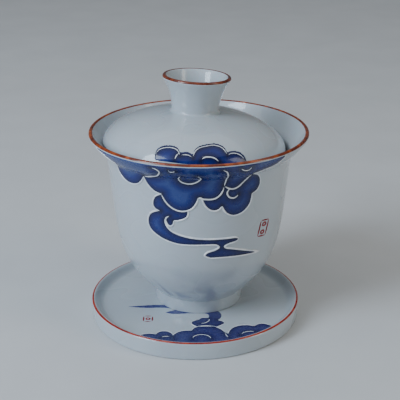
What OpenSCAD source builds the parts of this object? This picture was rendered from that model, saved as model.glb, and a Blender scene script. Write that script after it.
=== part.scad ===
// Gaiwan: a lidded porcelain tea bowl standing on its saucer.
// The frame's origin is the centre of the saucer's resting plane, +Z up, +Y to the back.

/* [Saucer] */
// Radius of the saucer at its rim
saucer_r = 46.1; // [44:0.1:60]
// Radius of the saucer just above its rounded bottom edge
saucer_base_r = 45.7; // [43.6:0.1:59.6]
// Height of the saucer's rim above the table
saucer_h = 8; // [7:0.1:12]
// Height of the floor of the well above the table
saucer_floor_h = 4.7; // [4:0.1:5.5]
// Radius of the flat floor of the well
saucer_well_r = 40.4; // [30:0.1:40.8]
// Radius of the shallow recess under the saucer
saucer_recess_r = 38.6; // [20:0.1:40]
// Depth of that recess
saucer_recess_h = 1.5; // [0.5:0.1:2]
// Radius of the saucer's rounded edges
saucer_edge_r = 0.9; // [0.7:0.1:1]

/* [Bowl] */
// Outer radius of the flared rim
bowl_rim_r = 47; // [45:0.1:50]
// Height of the bowl from the bottom of its foot to its rim
bowl_h = 78.6; // [75:0.1:85]
// Outer radius at the waist, where the belly ends and the flare starts
bowl_waist_r = 38.2; // [37.5:0.1:39]
// Height of the waist above the foot's bottom
bowl_waist_h = 54; // [50:0.5:56]
// Wall thickness
bowl_wall = 1.9; // [1.4:0.1:2.2]
// Outer radius of the foot ring at its bottom
foot_r = 19.2; // [17:0.1:19.5]
// Height of the foot ring, up to the belly
foot_h = 6; // [5:0.1:7]
// Width of the foot ring
foot_w = 2.8; // [2:0.1:4]
// Depth of the recess inside the foot ring
foot_recess_h = 3.8; // [2:0.1:4]
// Thickness of the bowl's floor
bowl_floor = 3.2; // [2.6:0.1:4]

/* [Lid] */
// Outer radius of the lid at its edge
lid_r = 39.1; // [38.5:0.1:39.2]
// Height of the dome, from the lid's edge to where the dome would close
lid_h = 15.9; // [14:0.1:18]
// Wall thickness of the lid
lid_wall = 2; // [1.6:0.1:2.4]

/* [Knob] */
// Radius of the knob's neck
knob_neck_r = 10.1; // [9:0.1:10.2]
// Outer radius of the knob's rim
knob_rim_r = 14.5; // [13:0.1:16]
// Height of the knob above its seat on the dome
knob_h = 15.2; // [14:0.1:17]
// Wall thickness of the hollow knob
knob_wall = 1.9; // [1.5:0.1:2.2]
// Thickness of the knob's floor
knob_floor = 3.5; // [2:0.1:5]
// How far the knob is stuck to the left of the lid's middle
knob_left = 0.5; // [0:0.1:0.5]

/* [Rim lines] */
// Angle on the bowl's rounded lip at which the line starts, below level on the outside
bowl_line_from = 15; // [-30:5:20]
// Angle on the bowl's lip at which the line ends, past the top on the inside
bowl_line_to = 140; // [95:5:140]
// Angle on the knob's lip at which its line starts
knob_line_from = 5; // [-30:5:60]
// Angle on the knob's lip at which its line ends
knob_line_to = 120; // [95:5:140]
// Angle on the saucer's rounded edge at which its line starts, above level on the outside
saucer_line_from = 25; // [5:5:30]
// Angle on the saucer's edge at which its line ends
saucer_line_to = 80; // [60:5:85]

/* [Placing] */
// Distance of the bowl's axis to the right of the saucer's centre
bowl_right = 1.7; // [0:0.1:5]
// Distance of the bowl's axis behind the saucer's centre
bowl_back = 5.7; // [0:0.1:10]
// Angle at which the lid leans in the flare
lid_lean = 3.9; // [3.5:0.1:3.9]
// Direction of the lid's low side, measured from the right towards the back
lid_lean_towards = 35; // [0:5:90]
// Distance that the leaning lid has slipped towards its high side
lid_slip = 2.4; // [2:0.1:2.6]
// Height of the middle of the lid's edge above the bowl's foot
lid_rest_h = 71.6; // [71.1:0.05:72]

/* [Hidden] */
$fn = 96;

porcelain = [0.86, 0.90, 0.93];
iron_glaze = [0.55, 0.20, 0.10];
steps = 14;                      // straight pieces that one curve is drawn with
lip_steps = 8;                   // straight pieces round a lip
lip_r = 0.95;                    // half the thickness of a thrown lip
lid_bead_r = lid_wall / 2;       // roundness of the lid's edge
seat_share = 0.17;               // share of the dome's curve that the knob covers

// A cubic curve through p[0] and p[3], with handles p[1] and p[2].
function at(p, t) =
    pow(1 - t, 3) * p[0] + 3 * pow(1 - t, 2) * t * p[1] + 3 * (1 - t) * t * t * p[2] + pow(t, 3) * p[3];
function slope(p, t) =
    pow(1 - t, 2) * (p[1] - p[0]) + 2 * (1 - t) * t * (p[2] - p[1]) + t * t * (p[3] - p[2]);
function left_of(v) = [-v[1], v[0]] / norm(v);
function heading(p) = atan2(slope(p, 1)[1], slope(p, 1)[0]);

// Points along the curve between two shares of it, moved sideways to the left by gap.
function curve(p, from = 0, to = 1, gap = 0) =
    [for (i = [0:steps]) let (t = from + (to - from) * i / steps) at(p, t) + gap * left_of(slope(p, t))];
function arc(centre, r, from, to, n = lip_steps) =
    [for (i = [0:n]) let (a = from + (to - from) * i / n) centre + r * [cos(a), sin(a)]];
function reversed(list) = [for (i = [len(list) - 1:-1:0]) list[i]];

// A lip is rounded about a centre that lies lip_r to the left of its outer curve's end.
function lip_centre(p) = p[3] + lip_r * left_of(slope(p, 1));
function lip_line(p, from, to) = arc(lip_centre(p), lip_r, from, to);

// The rest of the lip, cut straight across where the line of glaze lies.
function lip_around(p, from, to) = concat(
    arc(lip_centre(p), lip_r, heading(p) - 90, from, 4), arc(lip_centre(p), lip_r, to, heading(p) + 90, 4));

// The outer curve's end for a lip whose rim reaches radius r and height h.
lip_angle = 57;                  // steepness of a lip's outer face
function lip_start(r, h) = [r - lip_r, h - lip_r] + lip_r * [sin(lip_angle), -cos(lip_angle)];
function lip_handle(r, h, reach) = lip_start(r, h) - reach * [cos(lip_angle), sin(lip_angle)];

// Outlines, as radius and height. The bowl's are above the bottom of its foot.
belly = [[foot_r + 0.4, foot_h], [bowl_waist_r - 4, foot_h + 14.3],
         [bowl_waist_r - 2.7, bowl_waist_h - 27], [bowl_waist_r, bowl_waist_h]];
flare = [[bowl_waist_r, bowl_waist_h], [bowl_waist_r + 2.4, bowl_h],
         lip_handle(bowl_rim_r, bowl_h, 14.5), lip_start(bowl_rim_r, bowl_h)];

// The lid's and the knob's outlines are above the lid's edge.
dome = [[0, lid_h], [lid_r - 16.9, lid_h], [lid_r - 1.1, lid_h / 2 + lid_bead_r], [lid_r, lid_bead_r]];
seat = at(dome, seat_share);
knob_top = seat[1] + knob_h;
stem = [[knob_neck_r, seat[1] + 0.5], [knob_neck_r + 0.1, seat[1] + 6],
        lip_handle(knob_rim_r, knob_top, 4.5), lip_start(knob_rim_r, knob_top)];

bowl_z = saucer_floor_h;
rim_in = saucer_r - 2.3;                          // inner edge of the saucer's rim
saucer_edge = [saucer_r - saucer_edge_r, saucer_h - saucer_edge_r];   // centre of the rim's rounding

module saucer() {
    color(porcelain)
    rotate_extrude()
    polygon(concat(
        [[0, saucer_recess_h], [saucer_recess_r - 1, saucer_recess_h], [saucer_recess_r, 0]],
        arc([saucer_base_r - saucer_edge_r, saucer_edge_r], saucer_edge_r, -90, 0),
        arc(saucer_edge, saucer_edge_r, 0, saucer_line_from, 3),
        arc(saucer_edge, saucer_edge_r, saucer_line_to, 90, 2),
        curve([[saucer_edge[0] - 0.1, saucer_h], [rim_in, saucer_h], [rim_in - 1, saucer_floor_h],
               [saucer_well_r, saucer_floor_h]]),
        [[0, saucer_floor_h]]
    ));
}

module saucer_rim_glaze() {
    color(iron_glaze)
    rotate_extrude()
    polygon(arc(saucer_edge, saucer_edge_r, saucer_line_from, saucer_line_to));
}

module on_saucer() {
    translate([bowl_right, bowl_back, bowl_z]) children();
}

module bowl() {
    inner_foot_r = foot_r - foot_w;
    floor_h = foot_recess_h + bowl_floor;
    color(porcelain)
    on_saucer()
    rotate_extrude()
    polygon(concat(
        [[0, foot_recess_h], [inner_foot_r - 0.8, foot_recess_h], [inner_foot_r + 0.3, 0],
         [foot_r - 0.4, 0], [foot_r, 0.5]],
        curve(belly),
        curve(flare, 0.01, 0.99),
        lip_around(flare, bowl_line_from, bowl_line_to),
        reversed(curve(flare, 0.01, 0.95, bowl_wall)),
        reversed(curve(belly, 0.16, 1, bowl_wall)),
        [[inner_foot_r - 4, floor_h + 0.3], [0, floor_h]]
    ));
}

module bowl_rim_glaze() {
    color(iron_glaze)
    on_saucer()
    rotate_extrude()
    polygon(lip_line(flare, bowl_line_from, bowl_line_to));
}

// The lid leans in the flare: its low side is down in the mouth, so it has slipped to the high side.
module in_flare() {
    on_saucer()
    rotate([0, 0, lid_lean_towards])
    translate([-lid_slip, 0, lid_rest_h])
    rotate([0, lid_lean, 0])
    children();
}

module lid() {
    color(porcelain)
    in_flare()
    rotate_extrude()
    polygon(concat(
        curve(dome, seat_share, 1),
        arc([lid_r - lid_bead_r, lid_bead_r], lid_bead_r, -20, -160),
        reversed(curve(dome, 0.01, 1, -lid_wall)),
        [[0, lid_h - lid_wall], [0, seat[1]]]
    ));
}

// The knob is stuck on a little to the left, whichever way the lid leans.
module on_lid() {
    in_flare()
    rotate([0, 0, -lid_lean_towards])
    translate([-knob_left, 0, 0])
    children();
}

module lid_knob() {
    color(porcelain)
    on_lid()
    rotate_extrude()
    polygon(concat(
        [[0, seat[1]], [knob_neck_r + 0.1, seat[1]]],
        curve(stem, 0, 0.99),
        lip_around(stem, knob_line_from, knob_line_to),
        reversed(curve(stem, 0.2, 0.95, knob_wall)),
        [[knob_neck_r - knob_wall - 1.5, seat[1] + knob_floor], [0, seat[1] + knob_floor]]
    ));
}

module knob_rim_glaze() {
    color(iron_glaze)
    on_lid()
    rotate_extrude()
    polygon(lip_line(stem, knob_line_from, knob_line_to));
}

saucer();
saucer_rim_glaze();
bowl();
bowl_rim_glaze();
lid();
lid_knob();
knob_rim_glaze();
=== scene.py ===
# %% [markdown]
# # A gaiwan, a covered tea bowl with its saucer
# The real object is three thrown porcelain pieces. The saucer is a shallow dish, the bowl has
# a flared mouth, and the lid sits down inside it, leaning a little, and carries a hollow knob.
# All three have a clear glossy glaze, a brown line of iron glaze on each rim, and a cobalt
# cloud drawn with raised lines of white slip. The CAD frame gives the sizes and the places,
# and everything here is modelled round it and rides on its bodies.

# %% Load the frame
import math
import bpy
from mathutils import Matrix, Vector, kdtree


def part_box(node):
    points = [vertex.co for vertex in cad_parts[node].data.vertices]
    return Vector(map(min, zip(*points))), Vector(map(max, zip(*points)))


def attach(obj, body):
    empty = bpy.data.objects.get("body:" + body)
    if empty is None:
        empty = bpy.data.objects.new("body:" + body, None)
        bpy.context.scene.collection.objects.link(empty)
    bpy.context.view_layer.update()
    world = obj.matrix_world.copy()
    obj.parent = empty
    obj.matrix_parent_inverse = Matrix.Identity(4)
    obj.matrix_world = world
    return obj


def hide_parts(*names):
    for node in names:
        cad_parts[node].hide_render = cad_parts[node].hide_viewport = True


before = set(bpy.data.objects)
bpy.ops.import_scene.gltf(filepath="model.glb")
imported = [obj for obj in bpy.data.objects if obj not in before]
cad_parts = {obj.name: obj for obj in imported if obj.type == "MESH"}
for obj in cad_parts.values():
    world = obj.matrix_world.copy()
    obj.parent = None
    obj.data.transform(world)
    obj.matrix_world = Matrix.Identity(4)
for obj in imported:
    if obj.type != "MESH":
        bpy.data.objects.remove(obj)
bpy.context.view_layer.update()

MM = 0.001

# %% [markdown]
# # Where things stand
# The bowl stands a little off the middle of the saucer, so its axis is read from its node's
# box and not assumed. The lid leans in the bowl's flare: its low side is down in the mouth
# and it has slipped towards its high side. A lean like this is one matrix, built from the
# inside out: turn, lean, slip, then the bowl's own place. The last turn undoes the first, so
# that a drawing on the lid still faces the front.

# %% Places of the bowl and the lid
bowl_low, bowl_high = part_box("bowl")
bowl_x = (bowl_low[0] + bowl_high[0]) / 2
bowl_y = (bowl_low[1] + bowl_high[1]) / 2
table_to_bowl = bowl_low[2] / MM                 # the saucer's floor, under the bowl's foot
bowl_place = Matrix.Translation((bowl_x, bowl_y, 0))

lid_lean = math.radians(3.9)
lid_lean_towards = math.radians(35)
lid_slip = 2.4 * MM
lid_rest_height = (table_to_bowl + 71.6) * MM
lid_place = (
    bowl_place
    @ Matrix.Rotation(lid_lean_towards, 4, "Z")
    @ Matrix.Translation((-lid_slip, 0, lid_rest_height))
    @ Matrix.Rotation(lid_lean, 4, "Y")
    @ Matrix.Rotation(-lid_lean_towards, 4, "Z")
)
knob_left = 0.5 * MM                             # the knob is stuck on a little off the middle
knob_place = lid_place @ Matrix.Translation((-knob_left, 0, 0))
saucer_place = Matrix.Identity(4)
print("bowl axis in mm", round(bowl_x / MM, 2), round(bowl_y / MM, 2), "foot at", table_to_bowl)

# %% [markdown]
# # The camera
# The object is seen from a little above, so that the lid, the inside of the saucer and the
# far rim all show. A long lens from close by keeps the rims as calm ellipses. It is made
# first, because everything after it is judged through it.

# %% Camera
bpy.ops.object.select_all(action="DESELECT")
camera_pitch = math.radians(90 - 21.52)
bpy.ops.object.camera_add(location=(0.00221, -0.41755, 0.21742), rotation=(camera_pitch, 0, 0))
camera = bpy.context.object
camera.name = "camera"
camera.data.sensor_width = 36
camera.data.lens = 93.42
bpy.context.scene.camera = camera
print("camera", tuple(round(v, 3) for v in camera.location))

# %% [markdown]
# # What a finish is made of
# Nothing made by hand has one even colour. Each finish here is a noise in the piece's own
# space, which a ramp turns into two or more colours close together. A painted image could do
# the same, but a noise has no edges, no seams, and no size that it can be seen too close at.

# %% Helpers for a finish
def new_finish(name):
    """A material with its shader, and the two lists that its nodes and links go in."""
    finish = bpy.data.materials.new(name)
    finish.use_nodes = True
    tree = finish.node_tree
    return finish, tree.nodes["Principled BSDF"], tree.nodes, tree.links


def mottle(nodes, links, size, detail=3.0):
    """Noise whose patches are about that size in mm, in the piece's own space."""
    place = nodes.new("ShaderNodeTexCoord")
    noise = nodes.new("ShaderNodeTexNoise")
    noise.inputs["Scale"].default_value = 1 / (size * MM)
    noise.inputs["Detail"].default_value = detail
    links.new(place.outputs["Object"], noise.inputs["Vector"])
    return noise.outputs["Fac"]


def tint(nodes, links, share, stops):
    """Colours laid along a share from 0 to 1, as (share, (r, g, b)) stops."""
    ramp = nodes.new("ShaderNodeValToRGB")
    ends = ramp.color_ramp.elements
    while len(ends) < len(stops):
        ends.new(0.5)
    for end, (where, colour) in zip(ends, stops):
        end.position = where
        end.color = (*colour, 1)
    links.new(share, ramp.inputs["Fac"])
    return ramp.outputs["Color"]


print("a finish is made of a shader, a noise and a ramp of colours")

# %% [markdown]
# # The floor
# A plain sheet of pale paper, wide enough that its edge is never seen. It is a plane, since
# paper has no thickness to show, and its colour drifts a little so that it isn't dead flat.

# %% Floor
bpy.ops.object.select_all(action="DESELECT")
bpy.ops.mesh.primitive_plane_add(size=6, location=(0, 0, 0))
floor = bpy.context.object
floor.name = "floor"
floor_paper, shader, nodes, links = new_finish("floor_paper")
grain = mottle(nodes, links, 40)
links.new(tint(nodes, links, grain, [(0.3, (0.60, 0.61, 0.62)), (0.7, (0.64, 0.65, 0.66))]),
          shader.inputs["Base Color"])
shader.inputs["Roughness"].default_value = 0.6
floor.data.materials.append(floor_paper)
print("floor", floor.dimensions[:])

# %% [markdown]
# # The lights
# Glazed porcelain is mostly seen by what it mirrors, so the lights are large and soft. A tall
# box on each side gives the two long glints that such a studio leaves on a glaze, the left
# one cooler and stronger, and a wide box overhead models the lid.

# %% Lights
def soft_box(name, place, width, height, watts, colour):
    """A rectangular light that faces the middle of the bowl."""
    aim = Vector((0, 0, 50 * MM)) - Vector(place)
    bpy.ops.object.select_all(action="DESELECT")
    bpy.ops.object.light_add(type="AREA", location=place)
    box = bpy.context.object
    box.name = name
    box.rotation_euler = aim.to_track_quat("-Z", "Y").to_euler()
    box.data.shape = "RECTANGLE"
    box.data.size = width
    box.data.size_y = height
    box.data.energy = watts
    box.data.color = colour
    print(name, "at", place)


soft_box("left_box", (-0.75, -0.50, 0.60), 0.35, 0.9, 12, (0.72, 0.85, 1))
soft_box("right_box", (0.80, -0.30, 0.45), 0.22, 0.9, 2.3, (1, 0.97, 0.86))
soft_box("top_box", (-0.1, 0.10, 1.30), 2.0, 1.6, 7, (0.95, 0.98, 1))

studio = bpy.data.worlds.new("studio")
studio.use_nodes = True
studio.node_tree.nodes["Background"].inputs["Color"].default_value = (0.80, 0.84, 0.88, 1)
studio.node_tree.nodes["Background"].inputs["Strength"].default_value = 0.15
bpy.context.scene.world = studio
print("world", studio.name)

# %% [markdown]
# # Curves for an outline
# A potter's wall has no straight stretch in it, so an outline is a few cubic curves and arcs
# in (radius, height) pairs, in mm. Their handles are the sizes of the CAD model, and the
# inner wall is the same curve moved sideways by the wall's thickness.

# %% Drawing curves and arcs
def pair(x, y):
    return Vector((x, y))


def at(curve, share):
    a, b, c, d = curve
    rest = 1 - share
    return a * rest**3 + b * 3 * rest**2 * share + c * 3 * rest * share**2 + d * share**3


def heading(curve, share):
    a, b, c, d = curve
    rest = 1 - share
    return ((b - a) * rest**2 + (c - b) * 2 * rest * share + (d - c) * share**2).normalized()


def left_of(way):
    return pair(-way.y, way.x)


def along(curve, start=0.0, stop=1.0, gap=0.0, count=36):
    """Points between two shares of a curve, moved sideways to the left by gap."""
    shares = [start + (stop - start) * i / count for i in range(count + 1)]
    return [at(curve, s) + left_of(heading(curve, s)) * gap for s in shares]


def arc(centre, radius, start, stop, count=14):
    """Points round a centre, between two angles in degrees."""
    angles = [math.radians(start + (stop - start) * i / count) for i in range(count + 1)]
    return [centre + pair(math.cos(a), math.sin(a)) * radius for a in angles]


quarter = arc(pair(0, 0), 1, 0, 90)
print("a quarter arc has", len(quarter), "points")

# %% [markdown]
# # A thrown lip
# The potter rounds each lip with a strip of wet leather. It is half a circle as thick as the
# wall, set on the end of the outer curve, so a curve has to end where the circle begins.

# %% Lips
lip_r = 0.95                                      # half the thickness of a thrown lip
lip_angle = 57                                    # steepness of a lip's outer face
lip_way = pair(math.cos(math.radians(lip_angle)), math.sin(math.radians(lip_angle)))


def lip_start(radius, height):
    """Where an outer curve ends for a round lip that reaches this radius and height."""
    return pair(radius - lip_r, height - lip_r) - left_of(lip_way) * lip_r


def lip_centre(curve):
    return curve[3] + left_of(lip_way) * lip_r


def lip(curve):
    return arc(lip_centre(curve), lip_r, lip_angle - 90, lip_angle + 90)


print("a lip is", lip_r * 2, "mm thick")

# %% [markdown]
# # Throwing the pieces
# A potter pulls one wall up while the wheel turns, so each piece is one outline spun about
# its axis. It could be made with boxes or a lathe modifier, but a drawn outline that is spun
# in edit mode keeps real faces to work on.

# %% Spinning an outline
SPIN_STEPS = 192


def pick(piece):
    """Makes one piece the only selected one, and the active one."""
    bpy.ops.object.select_all(action="DESELECT")
    piece.select_set(True)
    bpy.context.view_layer.objects.active = piece


def draw(name, points):
    """Draws a line by extruding one point after another. It is left in edit mode."""
    bpy.ops.object.select_all(action="DESELECT")
    bpy.ops.mesh.primitive_plane_add(size=MM, location=(0, 0, 0))
    piece = bpy.context.object
    piece.name = name
    piece.data.name = name
    bpy.ops.object.mode_set(mode="EDIT")
    bpy.ops.mesh.merge(type="CENTER")
    bpy.ops.transform.translate(value=points[0])
    for here, there in zip(points, points[1:]):
        bpy.ops.mesh.extrude_region_move(TRANSFORM_OT_translate={"value": there - here})
    return piece


def close_up():
    """Merges doubled points and turns all faces outwards, in edit mode."""
    bpy.ops.mesh.select_all(action="SELECT")
    bpy.ops.mesh.remove_doubles(threshold=0.002 * MM)
    bpy.ops.mesh.normals_make_consistent(inside=False)
    bpy.ops.object.mode_set(mode="OBJECT")


def throw(name, outline, steps=SPIN_STEPS):
    """Spins an outline of (radius, height) pairs in mm round the upright axis."""
    piece = draw(name, [Vector((p.x, 0, p.y)) * MM for p in outline])
    bpy.ops.mesh.select_all(action="SELECT")
    bpy.ops.mesh.spin(steps=steps, angle=2 * math.pi, center=(0, 0, 0), axis=(0, 0, 1))
    close_up()
    bpy.ops.object.shade_smooth_by_angle(angle=math.radians(38))
    size = [round(s / MM, 1) for s in piece.dimensions]
    print(name, "is", size, "mm and has", len(piece.data.polygons), "faces")
    return piece


print("a piece is spun in", SPIN_STEPS, "steps")

# %% [markdown]
# # The bowl
# The belly rises from the foot ring in one long curve to a waist two thirds up, and from
# there the flare opens ever faster to the lip. Two cubic curves that share their slope at
# the waist give that, and the lip is an arc as thick as the wall. The foot ring is left
# without glaze where it stands, because glaze would glue it to the kiln shelf.

# %% Bowl
foot_r = 19.2
belly = [pair(foot_r + 0.4, 6), pair(34.2, 20.3), pair(35.5, 27), pair(38.2, 54)]
bowl_h = 78.6
flare_end = lip_start(47, bowl_h)
flare = [pair(38.2, 54), pair(40.6, bowl_h), flare_end - lip_way * 14.5, flare_end]
bowl_wall = 1.9

bowl_outline = (
    [pair(0, 3.8), pair(15.4, 3.8), pair(15.8, 3.6), pair(16.7, 0.2), pair(17, 0)]
    + [pair(foot_r - 0.5, 0), pair(foot_r - 0.1, 0.2), pair(foot_r, 0.6)]
    + along(belly)
    + along(flare, 0.02)
    + lip(flare)
    + along(flare, 0.95, 0.02, bowl_wall)
    + along(belly, 1, 0.16, bowl_wall)
    + [pair(11.9, 7.25), pair(6, 7.05), pair(0, 7)]
)
bowl_rise = pair(0, table_to_bowl)
bowl = throw("porcelain_bowl", [p + bowl_rise for p in bowl_outline])

# %% [markdown]
# # The lid
# The lid is a low dome with a rounded edge, thrown upside down and turned thin. It is drawn
# in its own upright space, and leans only when it is put in its place at the end.

# %% Lid
lid_r = 39.1
dome = [pair(0, 15.9), pair(lid_r - 16.9, 15.9), pair(lid_r - 1.1, 8.95), pair(lid_r, 1)]
lid_wall = 2.0
seat_share = 0.17
seat = at(dome, seat_share)
lid_outline = (
    [pair(0, seat.y)]
    + along(dome, seat_share, 1, count=48)
    + arc(pair(lid_r - 1, 1), 1, -20, -160)
    + along(dome, 1, 0.01, -lid_wall)
    + [pair(0, 15.9 - lid_wall)]
)
lid = throw("porcelain_lid", lid_outline)

# %% [markdown]
# # The knob
# The knob is a small flared cup, thrown apart and stuck on with slip, so it meets the dome in
# a small hollow curve where the glaze gathers. It could be one outline with the lid, but it
# is stuck on a little off the middle, so it has to be a piece of its own.

# %% Knob
neck_r = 10.1
knob_end = lip_start(14.5, seat.y + 15.2)
stem = [pair(neck_r, seat.y + 1.2), pair(neck_r + 0.1, seat.y + 6), knob_end - lip_way * 4.5,
        knob_end]
knob_foot = [pair(neck_r + 1.4, seat.y - 0.25), pair(neck_r + 0.5, seat.y + 0.05),
             pair(neck_r, seat.y + 0.5), pair(neck_r, seat.y + 1.2)]
knob_wall = 1.9
inside_r = neck_r - knob_wall                     # the hollow's radius at the neck
hollow = [pair(inside_r - 0.1, seat.y + 5.2), pair(inside_r - 0.2, seat.y + 3.7),
          pair(inside_r - 1.6, seat.y + 3.5), pair(0, seat.y + 3.5)]
knob_outline = (
    [pair(0, seat.y - 0.4), pair(neck_r + 1.2, seat.y - 0.4)]
    + along(knob_foot, count=10)
    + along(stem, 0.03)
    + lip(stem)
    + along(stem, 0.95, 0.2, knob_wall)
    + along(hollow, 0.05, 1, count=16)
)
knob = throw("porcelain_knob", knob_outline)

# %% [markdown]
# # The saucer
# The saucer is a flat dish with an upright rim. Its floor is level, its inner edge rises in
# a soft curve, and the outside is a straight band with a small round at the top and the
# bottom. Underneath, the middle is sunk, so that only a bare ring touches the table.

# %% Saucer
saucer_r = 46.1
saucer_h = 8.0
saucer_edge_r = 0.9
saucer_edge = pair(saucer_r - saucer_edge_r, saucer_h - saucer_edge_r)
floor_h = table_to_bowl
rim_in = saucer_r - 2.3
well = [pair(saucer_edge.x - 0.1, saucer_h), pair(rim_in, saucer_h), pair(rim_in - 1, floor_h),
        pair(40.4, floor_h)]
saucer_outline = (
    [pair(0, 1.5), pair(37.6, 1.5), pair(37.9, 1.3), pair(38.5, 0.1), pair(38.7, 0)]
    + arc(pair(45.7 - saucer_edge_r, saucer_edge_r), saucer_edge_r, -90, 0, 8)
    + arc(saucer_edge, saucer_edge_r, 0, 90, 12)
    + along(well, count=24)
    + [pair(20, floor_h), pair(0, floor_h)]
)
saucer = throw("porcelain_saucer", saucer_outline)

# %% [markdown]
# # The lines of iron glaze
# An iron glaze is brushed on the rim while the piece turns. It melts into a thin bead that
# is thickest in the middle and runs out at its edges, so its outline is the lip's own arc,
# swollen by a few hundredths of a millimetre.

# %% Rim lines
line_swell = 0.05
line_depth = 0.25


def iron_line(name, centre, radius, start, stop):
    """A bead of glaze on a rounded edge, between two angles in degrees."""
    top = arc(centre, radius, start, stop, 20)
    swollen = [p + (p - centre).normalized() * line_swell * math.sin(math.pi * i / 20)
               for i, p in enumerate(top)]
    under = arc(centre, radius - line_depth, stop, start, 20)
    return throw(name, swollen + under + swollen[:1])


bowl_line = iron_line("bowl_iron_line", lip_centre(flare) + bowl_rise, lip_r, 15, 140)
knob_line = iron_line("knob_iron_line", lip_centre(stem), lip_r, 5, 120)
saucer_line = iron_line("saucer_iron_line", saucer_edge, saucer_edge_r, 38, 98)

# %% [markdown]
# # Drawing a cloud
# A painter draws a cloud in sweeps: each one is smooth, and there is a sharp notch where two
# of them meet. So a drawing is kept as stretches, with the few points that one sweep goes
# through, and a smooth line is laid through each. It is drawn flat, straight in front of the
# piece or above it, and pressed on to the curved wall afterwards.

# %% Sweeps of the hand
DRAWING_STEP = 0.45                               # mm between the drawn points


def mirrored(a, b, c):
    """The point that goes before a, b, c if they lie on one arc."""
    way = (b - a).normalized()
    return c - way * 2 * (c - (a + b) / 2).dot(way)


def sweep(points):
    """A smooth line through a few points, which keeps arcs round."""
    knots = [pair(*p) for p in points]
    if len(knots) == 2:
        knots.insert(1, (knots[0] + knots[1]) / 2)
    knots = [mirrored(*knots[:3])] + knots + [mirrored(*knots[:-4:-1])]
    line = [knots[1]]
    for a, b, c, d in zip(knots, knots[1:], knots[2:], knots[3:]):
        before = math.sqrt((b - a).length)
        here = math.sqrt((c - b).length)
        after = math.sqrt((d - c).length)
        out = ((b - a) / before - (c - a) / (before + here)) * here + (c - b)
        into = ((d - c) / after - (d - b) / (here + after)) * here + (c - b)
        curve = [b, b + out / 3, c - into / 3, c]
        count = max(2, round((c - b).length / DRAWING_STEP))
        line += [at(curve, i / count) for i in range(1, count + 1)]
    return line


def outline_of(stretches):
    """One closed outline from stretches that follow each other."""
    line = []
    for stretch in stretches:
        line += [p for p in sweep(stretch) if not line or (p - line[-1]).length > 0.1]
    return line


print("a sweep is drawn with a point each", DRAWING_STEP, "mm")

# %% [markdown]
# # Flooding the cobalt
# The cobalt is a thick glaze, flooded between the lines, so it stands a little proud of the
# wall and follows its curve. A flat sheet bent to the wall would do, but its edge would lift.
# Here the wall's own outline is spun once more as a thin shell, a little outside the wall,
# and the drawing is pushed through it like a pastry cutter.

# %% Flooding cobalt
PAD_HEIGHT = 0.2                                  # mm that the cobalt stands above the wall
PAD_ROOT = 0.5                                    # mm that it reaches into the wall
PAD_STEPS = 256


def facing(p, far):
    """A drawing's point in front of a piece, far mm ahead of its axis."""
    return Vector((p.x, -far, p.y)) * MM


def above(p, far):
    """A drawing's point above a piece, far mm up."""
    return Vector((p.x, p.y, far)) * MM


def flood(name, outline, skin, to_space, far, push):
    """Cuts the skin of a piece with the outline of a cloud, like dough with a cutter."""
    cutter = draw("cutter", [to_space(p, far) for p in outline])
    bpy.ops.mesh.select_all(action="SELECT")
    bpy.ops.mesh.edge_face_add()
    bpy.ops.mesh.extrude_region_move(TRANSFORM_OT_translate={"value": Vector(push) * MM})
    close_up()
    pad = throw(name, skin, PAD_STEPS)
    cut = pad.modifiers.new("cut", "BOOLEAN")
    cut.operation = "INTERSECT"
    cut.solver = "EXACT"
    cut.object = cutter
    bpy.ops.object.modifier_apply(modifier="cut")
    bpy.data.objects.remove(cutter)
    return pad


print("the cobalt stands", PAD_HEIGHT, "mm proud")

# %% [markdown]
# # Trailing the slip
# The lines are slip, a thick cream of clay that is trailed from a nozzle: round, raised, and
# thinner at both ends, where the hand lifts off. So the drawn line is pressed on to the wall,
# made a curve, and given a round bevel whose radius tapers at each end.

# %% Trailing slip
BOLD = 0.44                                       # half widths of a trailed line, in mm
FINE = 0.36
THIN = 0.28
HAIR = 0.22
TAPER = 2.2                                       # mm from an end to where a line is full
TIP = 0.35                                        # share of its width that an end keeps


def trail(points, half_width, wall, to_space, far, axis, proud):
    """Presses one drawn line on to a wall, as a round tapering body that stands proud mm out."""
    line = draw("slip", [to_space(p, far) for p in points])
    bpy.ops.object.mode_set(mode="OBJECT")
    press = line.modifiers.new("press", "SHRINKWRAP")
    press.target = wall
    press.wrap_method = "PROJECT"
    press.wrap_mode = "ABOVE_SURFACE"
    press.offset = (proud - half_width) * MM
    press.use_project_y = axis == "Y"
    press.use_project_z = axis == "Z"
    press.use_negative_direction = axis == "Z"
    press.use_positive_direction = axis == "Y"
    bpy.ops.object.modifier_apply(modifier="press")
    bpy.ops.object.convert(target="CURVE")
    trace = bpy.context.object
    knots = trace.data.splines[0].points
    for i, knot in enumerate(knots):
        from_end = min(i, len(knots) - 1 - i) * DRAWING_STEP
        knot.radius = TIP + (1 - TIP) * math.sqrt(min(1, from_end / TAPER))
    trace.data.bevel_depth = half_width * MM
    trace.data.bevel_resolution = 2
    trace.data.use_fill_caps = True
    places = [Vector(knot.co[:3]) for knot in knots]
    bpy.ops.object.convert(target="MESH")
    return bpy.context.object, places


print("lines are", BOLD * 2, FINE * 2, THIN * 2, "or", HAIR * 2, "mm wide")

# %% [markdown]
# # Melting it together
# In the kiln the glaze melts: parts that touch run into one skin, and sharp edges round off.
# A voxel remesh fuses the parts in the same way, and a few rounds of smoothing soften them.
# The cobalt also keeps, on each of its points, how far that point is from the nearest line,
# because the colour gathers there, and its finish is going to need it.

# %% Melting parts to one
PAD_GRAIN = 0.28                                  # mm between points after the remesh
SLIP_GRAIN = 0.2


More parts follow.
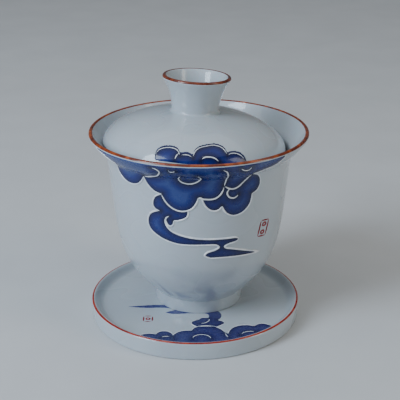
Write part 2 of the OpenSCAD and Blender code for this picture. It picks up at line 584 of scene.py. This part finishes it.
def melt(name, parts, grain, passes):
    """Joins parts, fuses them to one skin and softens it, as melting glaze does."""
    bpy.ops.object.select_all(action="DESELECT")
    for part in parts:
        part.select_set(True)
    bpy.context.view_layer.objects.active = parts[0]
    if len(parts) > 1:
        bpy.ops.object.join()
    whole = bpy.context.object
    whole.name = name
    whole.data.name = name
    fuse = whole.modifiers.new("fuse", "REMESH")
    fuse.mode = "VOXEL"
    fuse.voxel_size = grain * MM
    bpy.ops.object.modifier_apply(modifier="fuse")
    soften = whole.modifiers.new("soften", "SMOOTH")
    soften.factor = 0.5
    soften.iterations = passes
    bpy.ops.object.modifier_apply(modifier="soften")
    bpy.ops.object.shade_smooth()
    print(name, "has", len(whole.data.polygons), "faces")
    return whole


def mark_pools(pad, line_places, reach=5.6):
    """Keeps on each point how far it is from the nearest line, from 0 to 1."""
    tree = kdtree.KDTree(len(line_places))
    for i, place in enumerate(line_places):
        tree.insert(place, i)
    tree.balance()
    far = [min(1.0, tree.find(v.co)[2] / (reach * MM)) for v in pad.data.vertices]
    pad.data.attributes.new("open_water", "FLOAT", "POINT").data.foreach_set("value", far)


def paint_cloud(name, wall, skin, outlines, lines, to_space, far, push, axis, proud):
    """A whole cloud: its flooded cobalt and the slip lines round and across it."""
    slips = []
    places = []
    for stretch, half_width in lines:
        body, line_places = trail(
            sweep(stretch), half_width, wall, to_space, far, axis, proud)
        slips.append(body)
        places += line_places
    pads = [flood("pad", outline_of(o), skin, to_space, far, push) for o in outlines]
    cobalt = melt(name + "_cobalt", pads, PAD_GRAIN, 4)
    mark_pools(cobalt, places)
    slip = melt(name + "_slip", slips, SLIP_GRAIN, 2)
    return cobalt, slip


print("cobalt is fused at", PAD_GRAIN, "mm and slip at", SLIP_GRAIN, "mm")

# %% [markdown]
# # The cloud on the bowl
# It hangs from the rim, wider than the front of the bowl, in rounded lobes, and one long
# wisp trails from it to the right and folds back on itself. It is drawn as seen straight
# from the front, in mm to the right of the bowl's axis and above the table.

# %% Bowl cloud, its outer edge
bowl_front_edge = [
    [(-42.0, 82.3), (-37.6, 79.6), (-33.4, 77.3)],
    [(-33.4, 77.3), (-32.9, 73.0), (-30.5, 69.9), (-27.5, 68.9), (-24.1, 70.1), (-22.0, 74.2)],
    [(-22.0, 74.2), (-20.2, 70.4), (-17.4, 68.0), (-14.6, 67.6)],
    [(-14.9, 67.4), (-12.6, 63.4), (-9.7, 61.2), (-6.3, 60.6), (-2.6, 62.0), (-0.2, 66.8)],
    [(-0.2, 66.8), (1.1, 67.0)],
    [(1.1, 67.0), (2.9, 62.7), (5.2, 60.9), (7.7, 61.0), (9.4, 62.9)],
    [(9.4, 62.9), (10.9, 59.5), (13.8, 57.8), (17.3, 58.4), (20.4, 61.4), (21.4, 66.3)],
    [(21.4, 66.3), (23.6, 67.5), (24.8, 70.6), (24.0, 74.1), (21.4, 75.8)],
    [(21.4, 75.8), (25.6, 77.3), (28.9, 78.0), (31.9, 79.3), (34.8, 82.3)],
]
bowl_rim_edge = [[(34.8, 82.3), (0.1, 82.3), (-42.0, 82.3)]]
wisp_edge = [
    [(-14.8, 67.2), (-17.4, 66.0), (-18.5, 63.0), (-17.8, 60.6), (-15.4, 59.8)],
    [(-15.4, 59.8), (-19.3, 58.1), (-20.7, 54.6), (-19.8, 50.8), (-16.2, 47.7), (-9.4, 45.4),
     (-2.7, 45.1), (4.0, 45.2), (7.2, 44.9), (8.3, 43.9), (6.6, 42.7), (3.4, 41.6), (2.4, 40.2),
     (4.4, 38.9), (8.3, 38.7), (14.2, 38.3), (19.7, 37.8), (25.6, 37.2)],
    [(25.6, 37.2), (19.8, 40.1), (14.3, 42.2), (11.0, 43.3), (10.6, 44.0), (12.2, 44.9),
     (15.0, 45.5), (16.5, 46.5)],
    [(16.5, 46.5), (15.2, 47.5), (11.9, 47.7), (4.6, 47.9), (-2.4, 48.5), (-7.4, 49.6),
     (-11.0, 51.1), (-13.0, 53.3), (-13.5, 55.4)],
    [(-13.0, 55.9), (-12.6, 54.0), (-11.4, 53.3), (-10.3, 54.2), (-10.2, 56.0)],
    [(-10.2, 56.0), (-7.2, 56.5), (-4.7, 58.1), (-4.3, 60.9)],
]
wisp_top = [[(-4.3, 60.9), (-9.7, 61.9), (-12.4, 64.2), (-14.8, 67.2)]]
print("the edge takes", len(bowl_front_edge) + len(wisp_edge), "sweeps")

# %% [markdown]
# # Its inner lines
# Curls and small arcs inside the blue make the lobes overlap. The painter presses harder on
# the lines in front, so those are bolder.

# %% Bowl cloud, its inner lines
bowl_inner_lines = [
    ([(-18.6, 80.9), (-15.5, 79.2), (-16.4, 76.3), (-19.4, 74.6), (-22.0, 74.2)], BOLD),
    ([(-0.4, 66.9), (2.9, 66.1), (6.5, 66.3), (8.9, 68.3), (10.0, 71.4)], BOLD),
    ([(10.0, 71.4), (10.7, 74.0), (11.5, 77.2), (11.0, 79.6), (9.1, 80.9)], FINE),
    ([(10.1, 71.7), (13.3, 69.9), (15.6, 70.5), (18.0, 72.6), (21.4, 75.8)], BOLD),
    ([(16.6, 80.9), (17.6, 79.6), (19.4, 79.3), (20.8, 80.9)], FINE),
    ([(12.4, 70.2), (11.3, 68.3), (12.2, 66.4), (14.1, 65.8), (15.9, 67.3)], BOLD),
    ([(-7.0, 77.4), (-8.0, 75.6), (-7.0, 73.9), (-3.8, 73.0), (-0.6, 74.0), (0.9, 76.0),
      (-0.6, 77.6)], FINE),
    ([(-11.8, 80.9), (-11.2, 79.7), (-9.0, 80.3)], FINE),
    ([(-11.0, 51.1), (-13.0, 53.3), (-13.5, 55.4), (-13.0, 57.0), (-11.6, 58.0)], BOLD),
]
bowl_lines = (
    [(stretch, BOLD if i in (3, 5, 6) else FINE) for i, stretch in enumerate(bowl_front_edge)]
    + [(stretch, FINE if i == 0 else BOLD) for i, stretch in enumerate(wisp_edge)]
    + bowl_inner_lines
)
print("and there are", len(bowl_inner_lines), "lines inside it")

# %% [markdown]
# # On to the bowl's wall
# The blue runs up the flare and stops on the lip, just below the brown line. Its shell is
# the bowl's own belly, flare and lip, once a little outside the wall and once inside it.

# %% Bowl cloud, put on the wall
cloud_top = -8                                    # angle round the lip where the blue ends
lip_out = arc(lip_centre(flare), lip_r + PAD_HEIGHT, lip_angle - 90, cloud_top, 6)
lip_in = arc(lip_centre(flare), lip_r - PAD_ROOT, cloud_top, lip_angle - 90, 6)
wall_out = along(belly, 0.25, 1, -PAD_HEIGHT) + along(flare, 0.02, 0.99, -PAD_HEIGHT) + lip_out
wall_in = lip_in + along(flare, 0.99, 0.02, PAD_ROOT) + along(belly, 1, 0.25, PAD_ROOT)
bowl_skin = [p + bowl_rise for p in wall_out + wall_in + wall_out[:1]]
bowl_cobalt, bowl_slip = paint_cloud(
    "bowl_cloud", bowl, bowl_skin, [bowl_front_edge + bowl_rim_edge, wisp_edge + wisp_top],
    bowl_lines, facing, 60, (0, 60, 0), "Y", 0.42)

# %% [markdown]
# # The cloud on the lid
# It climbs from the lid's edge at the front, so that it seems to go on from the bowl's
# cloud. It is drawn as seen from above, in mm from the lid's axis, and pressed down.

# %% Lid cloud
lid_top_edge = [
    [(-15.6, -35.1), (-15.5, -32.9), (-14.2, -31.6), (-11.9, -31.3), (-9.0, -31.8),
     (-6.9, -33.0), (-5.9, -35.0)],
    [(-5.9, -35.0), (-4.4, -34.8), (-2.4, -35.0), (-0.6, -35.9)],
    [(-0.6, -35.9), (-0.1, -34.0), (1.4, -32.3), (4.3, -31.0), (7.5, -29.9), (10.4, -30.2),
     (12.0, -31.3), (12.9, -32.7)],
    [(12.9, -32.7), (14.4, -31.4), (16.4, -30.6), (18.5, -30.5), (20.2, -31.2), (21.0, -32.1)],
]
lid_low_edge = [[(21.0, -32.1), (12.5, -36.3), (3.0, -38.3), (-6.0, -37.9), (-15.6, -35.1)]]
lid_inner_lines = [
    ([(-5.9, -35.0), (-7.2, -36.0), (-8.0, -37.5)], BOLD),
    ([(2.4, -37.6), (3.7, -36.5), (5.9, -36.0), (8.0, -36.0), (10.2, -36.8)], BOLD),
]
line_inset = 1.1                                  # mm from the blue's edge to the line inside it
lid_line_edge = [lid_top_edge[0][1:]] + lid_top_edge[1:3] + [lid_top_edge[3][:-1]]
lid_lines = [([(x, y - line_inset) for x, y in stretch], THIN) for stretch in lid_line_edge]
lid_lines += lid_inner_lines
dome_out = along(dome, 0.2, 0.95, PAD_HEIGHT)
dome_in = along(dome, 0.95, 0.2, -PAD_ROOT)
lid_cobalt, lid_slip = paint_cloud(
    "lid_cloud", lid, dome_out + dome_in + dome_out[:1], [lid_top_edge + lid_low_edge],
    lid_lines, above, 30, (0, 0, -30), "Z", 0.36)

# %% [markdown]
# # The cloud on the saucer
# It is the bowl's cloud turned over: a bank of lobes along the front of the well, a stem
# that curls up from it, and a wisp that runs back under the bowl to the left.

# %% Saucer cloud, its drawing
saucer_bank_edge = [
    [(-23.6, -33.6), (-22.2, -32.2), (-20.3, -31.5), (-18.0, -31.4), (-16.4, -32.2)],
    [(-16.4, -32.2), (-15.6, -30.4), (-13.8, -29.3), (-11.7, -29.4), (-10.0, -30.7), (-9.3, -32.6)],
    [(-9.3, -34.4), (-8.9, -32.4), (-7.4, -30.3), (-4.9, -28.9), (-1.4, -28.9)],
    [(-1.4, -28.9), (-0.6, -26.9), (1.4, -25.3), (4.5, -24.6), (8.0, -25.1), (11.0, -27.3),
     (12.6, -30.2)],
    [(14.2, -31.6), (14.7, -28.8), (16.3, -26.1), (18.8, -24.4), (22.2, -23.8), (25.5, -24.8)],
    [(25.5, -24.8), (27.3, -22.9), (29.6, -22.5), (31.9, -24.0)],
]
saucer_front_edge = [[(31.9, -24.0), (33.4, -26.6), (25.5, -34.4), (12.0, -41.2), (0.0, -43.0),
                      (-12.0, -41.2), (-21.0, -37.0), (-23.6, -33.6)]]
stem_edge = [
    [(-30.2, -6.9), (-22.0, -5.7), (-15.6, -5.1), (-11.0, -6.1), (-4.0, -8.2), (4.0, -8.8),
     (8.6, -10.0), (11.2, -13.0), (11.5, -16.4), (9.8, -19.6)],
    [(9.8, -19.6), (12.0, -20.4), (12.8, -22.2), (11.4, -24.0), (8.6, -26.0)],
    [(8.6, -26.0), (5.0, -25.2), (1.6, -25.6)],
    [(1.6, -25.6), (-0.9, -23.9), (-1.6, -22.0), (-0.6, -20.2), (1.8, -19.0)],
    [(1.8, -19.0), (3.2, -17.3), (5.4, -17.6)],
    [(5.4, -17.6), (6.1, -15.7), (5.0, -13.6), (-2.2, -13.3), (-10.0, -13.8), (-13.0, -12.3)],
    [(-13.0, -12.3), (-9.8, -10.6), (-8.0, -9.8)],
    [(-8.0, -9.8), (-14.0, -8.0), (-21.0, -8.2), (-30.2, -6.9)],
]
saucer_inner_lines = [
    ([(-0.9, -36.4), (-0.2, -33.9), (1.8, -32.6), (4.3, -32.7), (6.2, -34.2), (6.9, -37.0)], FINE),
    ([(-14.8, -35.6), (-13.3, -34.3), (-11.2, -34.0), (-9.3, -34.6)], FINE),
    ([(19.2, -33.0), (20.8, -30.6), (23.6, -29.6), (26.4, -30.4)], FINE),
    ([(5.4, -17.6), (6.2, -19.6), (4.6, -22.0), (1.4, -22.6)], FINE),
    ([(12.6, -30.2), (13.4, -33.4), (14.6, -36.0)], FINE),
    ([(-9.3, -34.4), (-9.0, -37.0)], FINE),
]
saucer_lines = (
    [(stretch, THIN) for stretch in saucer_bank_edge]
    + [(stretch, HAIR) for stretch in stem_edge[1:5]]
    + saucer_inner_lines
)
print("the saucer's cloud takes", len(saucer_lines), "lines")

# %% [markdown]
# # On to the saucer's well
# The glaze in the saucer is thinner than on the bowl, so its lines stand lower. The bank
# runs a little way up the inside of the rim, so the shell follows the well's curve.

# %% Saucer cloud, put on the well
SAUCER_PAD = 0.12                                 # mm that its cobalt stands proud
well_line = [pair(rim_in + 0.2, saucer_h - 0.35)] + along(well, 0.45, 1, 0, 16)
well_top = [p + pair(-0.03, SAUCER_PAD) for p in well_line] + [pair(0, floor_h + SAUCER_PAD)]
well_root = [pair(0, floor_h - PAD_ROOT)] + [p + pair(0.3, -PAD_ROOT) for p in well_line[::-1]]
saucer_cobalt, saucer_slip = paint_cloud(
    "saucer_cloud", saucer, well_top + well_root + well_top[:1],
    [saucer_bank_edge + saucer_front_edge, stem_edge], saucer_lines, above, 30, (0, 0, -30), "Z",
    0.22)

# %% [markdown]
# # Two small seals
# A potter signs with a small red seal beside the drawing. These carry no writing: each is a
# plain frame round one or two rings, in finely trailed enamel, made like the slip lines.

# %% Seals
SEAL_LINE = 0.46


def ring_line(middle, radius):
    """A ring drawn as one sweep that goes round once and a half, so its thin ends don't show."""
    return [pair(*middle) + pair(math.cos(a), math.sin(a)) * radius
            for a in [math.tau * i / 12 for i in range(19)]]


def seal(name, middle, width, height, turn, rings, wall, to_space, far, axis, proud):
    """A frame with a column of plain rings, turned by some degrees."""
    spin = Matrix.Rotation(math.radians(turn), 2)
    a = width / 2
    b = height / 2
    lines = [[(-a, -b), (a, -b)], [(a, -b), (a, b)], [(a, b), (-a, b)], [(-a, b), (-a, -b)]]
    lines += [ring_line((0, height * ((i + 0.5) / rings - 0.5)), 0.42 * a) for i in range(rings)]
    parts = []
    for line in lines:
        turned = [pair(*middle) + spin @ pair(*p) for p in line]
        parts.append(trail(sweep(turned), SEAL_LINE, wall, to_space, far, axis, proud)[0])
    return melt(name, parts, 0.12, 1)


bowl_seal = seal("bowl_seal", (26.8, 48.2), 3.4, 7.2, -12, 2, bowl, facing, 60, "Y", 0.3)
saucer_seal = seal("saucer_seal", (-20.3, -18.3), 3.8, 5.0, 0, 1, saucer, above, 30, "Z", 0.2)

# %% [markdown]
# # The glazes
# Porcelain glaze is a thin layer of glass over a white body, so each finish is a pale body
# colour under a clear coat, with light that goes a little way in. The glass is never quite
# flat: slow ripples in the bump and patches in the roughness make the reflections live.
# Every number that is the same all over sits on the shader itself.

# %% White glaze
def spread(nodes, links, share, low, high):
    """A number that runs from low to high over the middle part of a noise."""
    span = nodes.new("ShaderNodeMapRange")
    span.inputs["From Min"].default_value = 0.3
    span.inputs["From Max"].default_value = 0.7
    span.inputs["To Min"].default_value = low
    span.inputs["To Max"].default_value = high
    links.new(share, span.inputs["Value"])
    return span.outputs["Result"]


def ripple(nodes, links, shader, height, depth):
    """Raises and sinks the surface's shading by depth mm where height runs from 0 to 1."""
    bump = nodes.new("ShaderNodeBump")
    bump.inputs["Strength"].default_value = 1
    bump.inputs["Distance"].default_value = depth * MM
    links.new(height, bump.inputs["Height"])
    links.new(bump.outputs["Normal"], shader.inputs["Normal"])


def glass_over(shader, roughness, coat):
    """A clear glossy coat over a body colour."""
    shader.inputs["Specular IOR Level"].default_value = 0.3
    shader.inputs["Roughness"].default_value = roughness
    shader.inputs["Coat Weight"].default_value = coat
    shader.inputs["Coat Roughness"].default_value = 0.04
    shader.inputs["Coat IOR"].default_value = 1.5


white_glaze, shader, nodes, links = new_finish("white_glaze")
body = mottle(nodes, links, 30, 1)
# The body colour is a mid grey, darker than white porcelain: partly painted shade, so that the slip
# lines stand out against it.
links.new(tint(nodes, links, body, [(0.3, (0.475, 0.525, 0.57)), (0.7, (0.505, 0.555, 0.595))]),
          shader.inputs["Base Color"])
glass_over(shader, 0.3, 0.8)
links.new(spread(nodes, links, mottle(nodes, links, 25, 1), 0.24, 0.3), shader.inputs["Roughness"])
shader.inputs["Subsurface Weight"].default_value = 0.08
shader.inputs["Subsurface Scale"].default_value = 0.002
ripple(nodes, links, shader, mottle(nodes, links, 20, 1), 0.02)
print(white_glaze.name, "has", len(nodes), "nodes")

# %% [markdown]
# # Bare porcelain
# Where a foot stands in the kiln its glaze is wiped off, and the fired body shows: warmer,
# dull, and as rough as fine sandpaper, so it has no clear coat.

# %% Bare porcelain
bare_porcelain, shader, nodes, links = new_finish("bare_porcelain")
grit = mottle(nodes, links, 0.5, 5)
links.new(tint(nodes, links, grit, [(0.3, (0.66, 0.63, 0.58)), (0.7, (0.76, 0.74, 0.70))]),
          shader.inputs["Base Color"])
shader.inputs["Roughness"].default_value = 0.75
ripple(nodes, links, shader, mottle(nodes, links, 0.25, 4), 0.04)
print(bare_porcelain.name, "has", len(nodes), "nodes")

# %% [markdown]
# # Iron glaze
# Iron breaks from brown to rust where the brush left it thin. Each rim was painted from a
# pot stirred at another time: the knob's line is the darkest and the saucer's the reddest.

# %% Iron glaze
def iron(name, dark, middle, light):
    """A brown line of glaze that breaks to a brighter colour where it is thin."""
    finish, shader, nodes, links = new_finish(name)
    streak = mottle(nodes, links, 3.5, 6)
    links.new(tint(nodes, links, streak, [(0.32, dark), (0.5, middle), (0.68, light)]),
              shader.inputs["Base Color"])
    glass_over(shader, 0.3, 0.6)
    links.new(spread(nodes, links, mottle(nodes, links, 1.2), 0.22, 0.42),
              shader.inputs["Roughness"])
    ripple(nodes, links, shader, mottle(nodes, links, 1.5, 3), 0.03)
    return finish


iron_glaze = iron("iron_glaze", (0.10, 0.014, 0.004), (0.22, 0.032, 0.006), (0.42, 0.085, 0.014))
dark_iron = iron("dark_iron_glaze", (0.07, 0.012, 0.006), (0.14, 0.022, 0.008), (0.26, 0.05, 0.015))
red_iron = iron("red_iron_glaze", (0.22, 0.010, 0.003), (0.36, 0.020, 0.005), (0.48, 0.045, 0.010))

print("three iron glazes, the bowl's is", iron_glaze.name)

# %% [markdown]
# # Cobalt
# Cobalt is strong: it is nearly black where it is thick and blue where it is thin. It pools
# beside the lines, so its ramp runs along the distance that each point has kept.

# %% Cobalt
def cobalt(name, pool, deep, open_blue, pale):
    """Blue that gathers dark beside the lines and thins out in the open."""
    finish, shader, nodes, links = new_finish(name)
    water = nodes.new("ShaderNodeAttribute")
    water.attribute_name = "open_water"
    drift = nodes.new("ShaderNodeMath")
    drift.operation = "MULTIPLY_ADD"
    drift.inputs[1].default_value = 0.35
    links.new(mottle(nodes, links, 7, 4), drift.inputs[0])
    links.new(water.outputs["Fac"], drift.inputs[2])
    links.new(tint(nodes, links, drift.outputs["Value"],
                   [(0.24, pool), (0.40, deep), (0.72, open_blue), (1.0, pale)]),
              shader.inputs["Base Color"])
    glass_over(shader, 0.25, 0.4)
    links.new(spread(nodes, links, mottle(nodes, links, 2.5), 0.18, 0.32),
              shader.inputs["Roughness"])
    ripple(nodes, links, shader, mottle(nodes, links, 3, 2), 0.05)
    return finish


cobalt_glaze = cobalt("cobalt_glaze", (0.002, 0.004, 0.04), (0.002, 0.008, 0.09),
                      (0.004, 0.017, 0.16), (0.022, 0.052, 0.21))
saucer_blue = cobalt("violet_cobalt_glaze", (0.010, 0.011, 0.075), (0.018, 0.019, 0.115),
                     (0.032, 0.036, 0.16), (0.042, 0.048, 0.18))

print("cobalts", cobalt_glaze.name, saucer_blue.name)

# %% [markdown]
# # Slip and enamel
# The slip is the whitest thing on the piece, bluish where cobalt has run over it. It is set far
# whiter than the grey white glaze, partly as painted highlight, so that the raised lines read as
# bright as the glints they catch. The red enamel is painted last and fired cool, so it lies dull
# and worn on top of the glaze.

# %% Slip and enamel
white_slip, shader, nodes, links = new_finish("white_slip")
thin = mottle(nodes, links, 2.5, 4)
# The whiter stop is partly the slip's own white and partly painted highlight, the glints that
# raised lines catch.
links.new(tint(nodes, links, thin, [(0.35, (0.70, 0.74, 0.82)), (0.6, (0.90, 0.91, 0.93))]),
          shader.inputs["Base Color"])
glass_over(shader, 0.3, 0.9)
ripple(nodes, links, shader, mottle(nodes, links, 0.8, 3), 0.03)

red_enamel, shader, nodes, links = new_finish("red_enamel")
worn = mottle(nodes, links, 0.9, 4)
links.new(tint(nodes, links, worn, [(0.35, (0.20, 0.003, 0.006)), (0.65, (0.34, 0.008, 0.012))]),
          shader.inputs["Base Color"])
glass_over(shader, 0.4, 0.5)
ripple(nodes, links, shader, mottle(nodes, links, 0.4, 2), 0.02)
print("slip", white_slip.name, "and enamel", red_enamel.name)

# %% [markdown]
# # Putting the pieces in place
# Each finished piece gets its glaze, the foot rings lose theirs where they stand, and then
# every mesh is moved to its place and rides on its body.

# %% Settling a piece
def bare_ring(piece, low, inner_r):
    """Faces at the bottom of a piece, outside a radius, are left without glaze."""
    piece.data.materials.append(bare_porcelain)
    bare = [f for f in piece.data.polygons
            if f.center.z < low and f.center.xy.length > inner_r]
    for face in bare:
        face.material_index = 1
    print(piece.name, "has", len(bare), "bare faces")


def settle(piece, finish, slot, body, place, *nodes):
    """Moves a mesh to its place and hands the piece to its body."""
    piece.data.materials.clear()
    piece.data.materials.append(finish)
    pick(piece)
    piece.matrix_world = place
    bpy.ops.object.transform_apply(location=True, rotation=True, scale=True)
    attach(piece, body)
    if nodes:
        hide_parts(*nodes)
    print(piece.name, "rides on", body)


# %% [markdown]
# # The saucer's pieces
# The saucer is already drawn where it stands, so its place is no move at all. Its foot ring
# is bare from the edge of the sunk middle outwards.

# %% Saucer settled
settle(saucer, white_glaze, "white_glaze", "saucer", saucer_place, "saucer")
settle(saucer_line, red_iron, "iron_glaze", "saucer", saucer_place, "saucer_rim_glaze")
settle(saucer_cobalt, saucer_blue, "cobalt_glaze", "saucer", saucer_place)
settle(saucer_slip, white_slip, "white_slip", "saucer", saucer_place)
settle(saucer_seal, red_enamel, "red_enamel", "saucer", saucer_place)
bare_ring(saucer, 0.3 * MM, 38.4 * MM)

# %% [markdown]
# # The bowl's pieces
# They all share the bowl's own place, a little off the saucer's middle.

# %% Bowl settled
settle(bowl, white_glaze, "white_glaze", "bowl", bowl_place, "bowl")
settle(bowl_line, iron_glaze, "iron_glaze", "bowl", bowl_place, "bowl_rim_glaze")
settle(bowl_cobalt, cobalt_glaze, "cobalt_glaze", "bowl", bowl_place)
settle(bowl_slip, white_slip, "white_slip", "bowl", bowl_place)
settle(bowl_seal, red_enamel, "red_enamel", "bowl", bowl_place)
bare_ring(bowl, (table_to_bowl + 0.35) * MM, 0)

# %% [markdown]
# # The lid's pieces
# They lean with the lid. The knob and its line are put a little to the left of its middle.

# %% Lid settled
settle(lid, white_glaze, "white_glaze", "lid", lid_place, "lid")
settle(knob, white_glaze, "white_glaze", "lid", knob_place, "lid_knob")
settle(knob_line, dark_iron, "iron_glaze", "lid", knob_place, "knob_rim_glaze")
settle(lid_cobalt, cobalt_glaze, "cobalt_glaze", "lid", lid_place)
settle(lid_slip, white_slip, "white_slip", "lid", lid_place)
